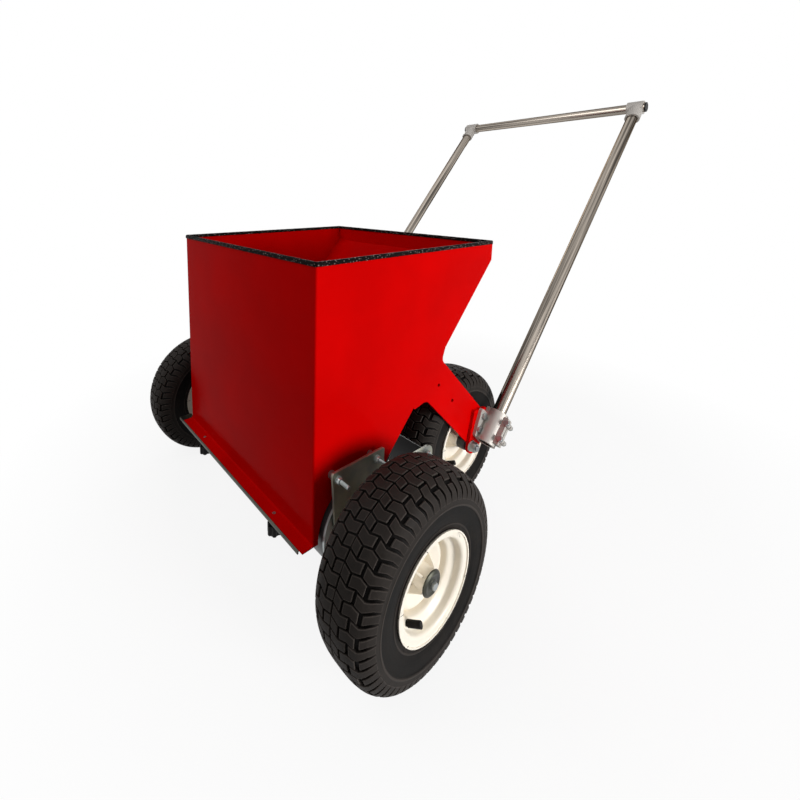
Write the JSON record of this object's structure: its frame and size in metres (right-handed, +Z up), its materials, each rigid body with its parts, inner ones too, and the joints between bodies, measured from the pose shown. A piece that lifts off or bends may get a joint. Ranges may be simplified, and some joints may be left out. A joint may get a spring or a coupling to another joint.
{
  "type": "lawn topdresser",
  "caption": "walk-behind lawn topdresser: a red steep-backed hopper over a metering drum driven by its front wheels, with rear wheels on arms and a tubular push handle",
  "frame": {"origin": "on the ground under the middle of the whole machine", "axes": "X across the machine, +Y from the hopper's front wall towards the handle, +Z up"},
  "size_m": [0.9754, 1.58, 1.1942],
  "materials": {
    "red_paint": "gloss",
    "cream_paint": "gloss",
    "black_paint": "satin",
    "tyre_rubber": "matte",
    "edge_rubber": "matte",
    "wiper_rubber": "matte",
    "black_plastic": "satin",
    "cast_aluminium": "cast",
    "stainless_tube": "brushed",
    "bright_steel": "turned",
    "zinc_plate": "zinc plated"
  },
  "bodies": {
    "frame": {"hopper_body": "red_paint", "hopper_back": "red_paint", "rim_trim": "edge_rubber", "wiper_strip": "wiper_rubber", "wiper_bar": "zinc_plate", "wiper_bolts": "zinc_plate", "gate_studs": "zinc_plate", "axle_plate_left": "zinc_plate", "axle_plate_right": "zinc_plate", "plate_bolts": "zinc_plate", "plate_spacers": "zinc_plate", "front_bearing_left": "cast_aluminium", "front_bearing_right": "cast_aluminium", "bearing_bolts": "zinc_plate", "cross_plate": "black_paint", "cross_bolts": "zinc_plate", "arm_left": "red_paint", "arm_right": "red_paint", "axle_lug_left": "red_paint", "axle_lug_right": "red_paint", "rear_axle": "bright_steel", "rear_axle_nuts": "zinc_plate", "rear_spacers": "black_paint", "rear_collars": "zinc_plate", "handle_clamp_left": "cast_aluminium", "handle_clamp_right": "cast_aluminium", "clamp_bolts": "zinc_plate", "clamp_base_bolts": "zinc_plate"},
    "drive": {"front_axle": "bright_steel", "drum_shell": "black_paint", "drum_disc_left": "zinc_plate", "drum_disc_right": "zinc_plate", "bearing_rings": "bright_steel", "front_spacers": "zinc_plate", "front_rim_left": "cream_paint", "front_rim_right": "cream_paint", "front_tyre_left": "tyre_rubber", "front_tyre_right": "tyre_rubber", "valve_stems_front": "edge_rubber", "hub_washers": "zinc_plate", "hub_bolts": "zinc_plate"},
    "rear_wheel_left": {"rear_rim_left": "cream_paint", "rear_tyre_left": "tyre_rubber", "valve_stem_rear_left": "edge_rubber", "rear_bearings_left": "bright_steel"},
    "rear_wheel_right": {"rear_rim_right": "cream_paint", "rear_tyre_right": "tyre_rubber", "valve_stem_rear_right": "edge_rubber", "rear_bearings_right": "bright_steel"},
    "gate": {"gate_plate": "zinc_plate", "gate_edge": "zinc_plate"},
    "knob_left": {"gate_knob_left": "black_plastic"},
    "knob_right": {"gate_knob_right": "black_plastic"},
    "handle": {"handle_tube_left": "stainless_tube", "handle_tube_right": "stainless_tube", "handle_bar": "stainless_tube", "handle_fitting_left": "cast_aluminium", "handle_fitting_right": "cast_aluminium", "fitting_screws": "bright_steel", "bar_caps": "black_plastic"}
  },
  "joints": [
    {"name": "front_wheels_spin", "type": "hinge", "parent": "frame", "child": "drive", "pos_m": [0, -0.59951, 0.1905], "axis": [1, 0, 0], "continuous": true},
    {"name": "rear_left_spin", "type": "hinge", "parent": "frame", "child": "rear_wheel_left", "pos_m": [-0.2158, -0.17341, 0.1905], "axis": [1, 0, 0], "continuous": true},
    {"name": "rear_right_spin", "type": "hinge", "parent": "frame", "child": "rear_wheel_right", "pos_m": [0.2158, -0.17341, 0.1905], "axis": [1, 0, 0], "continuous": true},
    {"name": "gate_slide", "type": "slide", "parent": "frame", "child": "gate", "axis": [0, 1, 0], "range_m": [-0.0055, 0.0045]},
    {"name": "knob_left_turn", "type": "hinge", "parent": "frame", "child": "knob_left", "pos_m": [-0.173, -0.72591, 0.164], "axis": [0, 0, 1], "range_deg": [0, 360]},
    {"name": "knob_right_turn", "type": "hinge", "parent": "frame", "child": "knob_right", "pos_m": [0.173, -0.72591, 0.164], "axis": [0, 0, 1], "range_deg": [0, 360]},
    {"name": "handle_height", "type": "slide", "parent": "frame", "child": "handle", "axis": [0, 0.6865, 0.7272], "range_m": [0, 0.05]}
  ]
}
